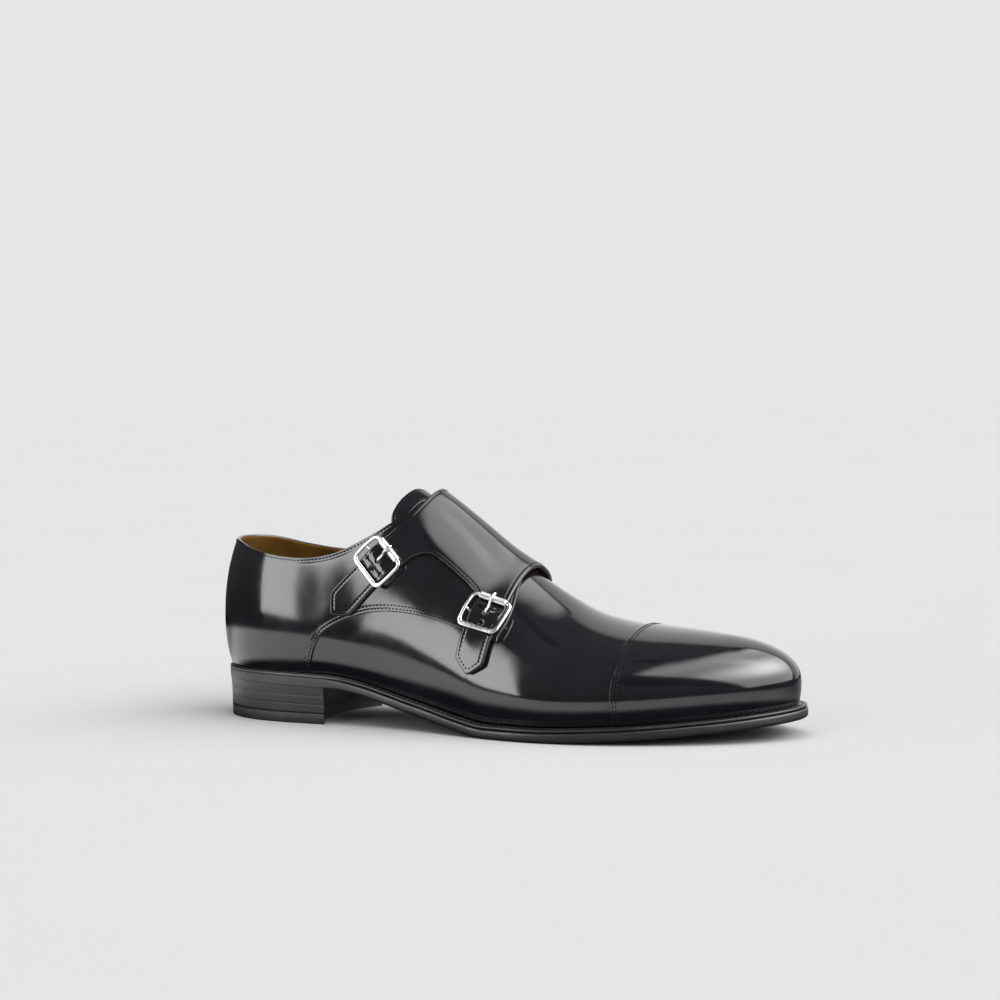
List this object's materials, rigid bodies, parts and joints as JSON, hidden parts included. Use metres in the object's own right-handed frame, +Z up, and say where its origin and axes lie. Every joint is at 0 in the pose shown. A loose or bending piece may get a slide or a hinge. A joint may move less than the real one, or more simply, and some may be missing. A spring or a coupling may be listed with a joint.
{
  "type": "monk strap shoe",
  "caption": "Right-foot leather dress shoe with a toe cap, a wide instep flap held by buckled pointed straps, a welted sole and a stacked heel.",
  "frame": {"origin": "middle of the shoe in plan, on the floor it stands on", "axes": "+X to the toe, +Y to the medial (inner) side, +Z up"},
  "size_m": [0.3102, 0.108, 0.1181],
  "materials": {
    "upper_leather": "polished black calf leather",
    "sole_edge_finish": "black waxed sole leather",
    "top_piece_rubber": "matt black rubber",
    "insole_leather": "tan lining leather",
    "buckle_metal": "polished nickel"
  },
  "bodies": {
    "root": {"outsole": "sole_edge_finish", "welt": "sole_edge_finish", "heel_stack": "sole_edge_finish", "heel_top_piece": "top_piece_rubber", "insole": "insole_leather", "upper": "upper_leather", "tongue": "upper_leather", "strap_flap": "upper_leather", "buckle_upper_frame": "buckle_metal", "buckle_upper_roller": "buckle_metal", "buckle_upper_prong": "buckle_metal", "buckle_lower_frame": "buckle_metal", "buckle_lower_roller": "buckle_metal", "buckle_lower_prong": "buckle_metal"}
  },
  "joints": []
}
